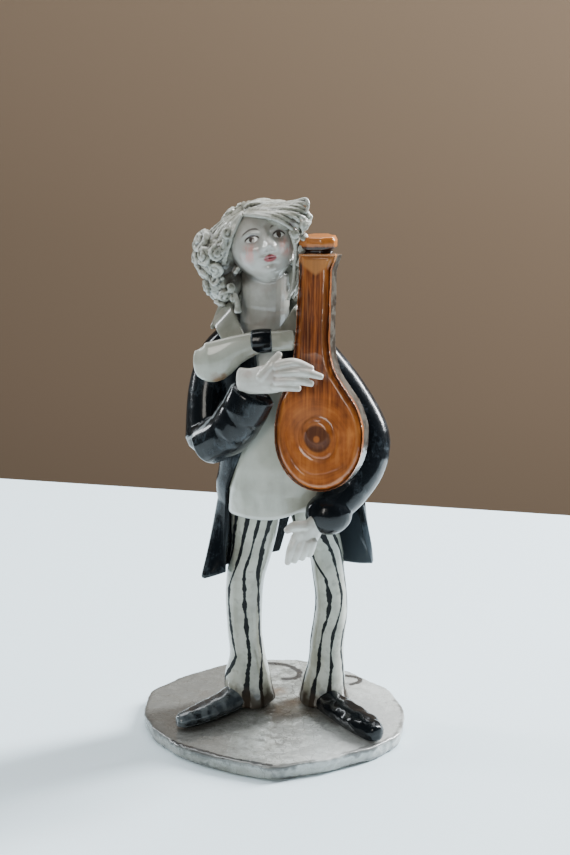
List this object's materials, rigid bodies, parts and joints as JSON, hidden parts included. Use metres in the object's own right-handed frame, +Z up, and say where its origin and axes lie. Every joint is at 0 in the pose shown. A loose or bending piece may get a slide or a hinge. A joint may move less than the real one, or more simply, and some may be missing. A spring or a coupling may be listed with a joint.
{
  "type": "musician figurine",
  "caption": "Standing glazed ceramic musician in a tailcoat and striped trousers, with curly hair and a wide bow, leaning a long-necked lute on the chest, on a thin cut slab.",
  "frame": {"origin": "centre of the bounding box at the slab's underside", "axes": "+Z up along the standing figure, -Y the way the figure faces, +X to the right of someone who faces it"},
  "size_m": [0.099, 0.0896, 0.2002],
  "materials": {
    "base_glaze": "glossy off-white glaze, washed and crackled with grey",
    "figure_glaze": "glossy grey-white and blue-black glazes, with brushed black stripes",
    "lute_glaze": "glossy amber-brown translucent glaze over brushed streaks"
  },
  "bodies": {
    "root": {"base_slab": "base_glaze", "musician": "figure_glaze", "lute": "lute_glaze"}
  },
  "joints": []
}
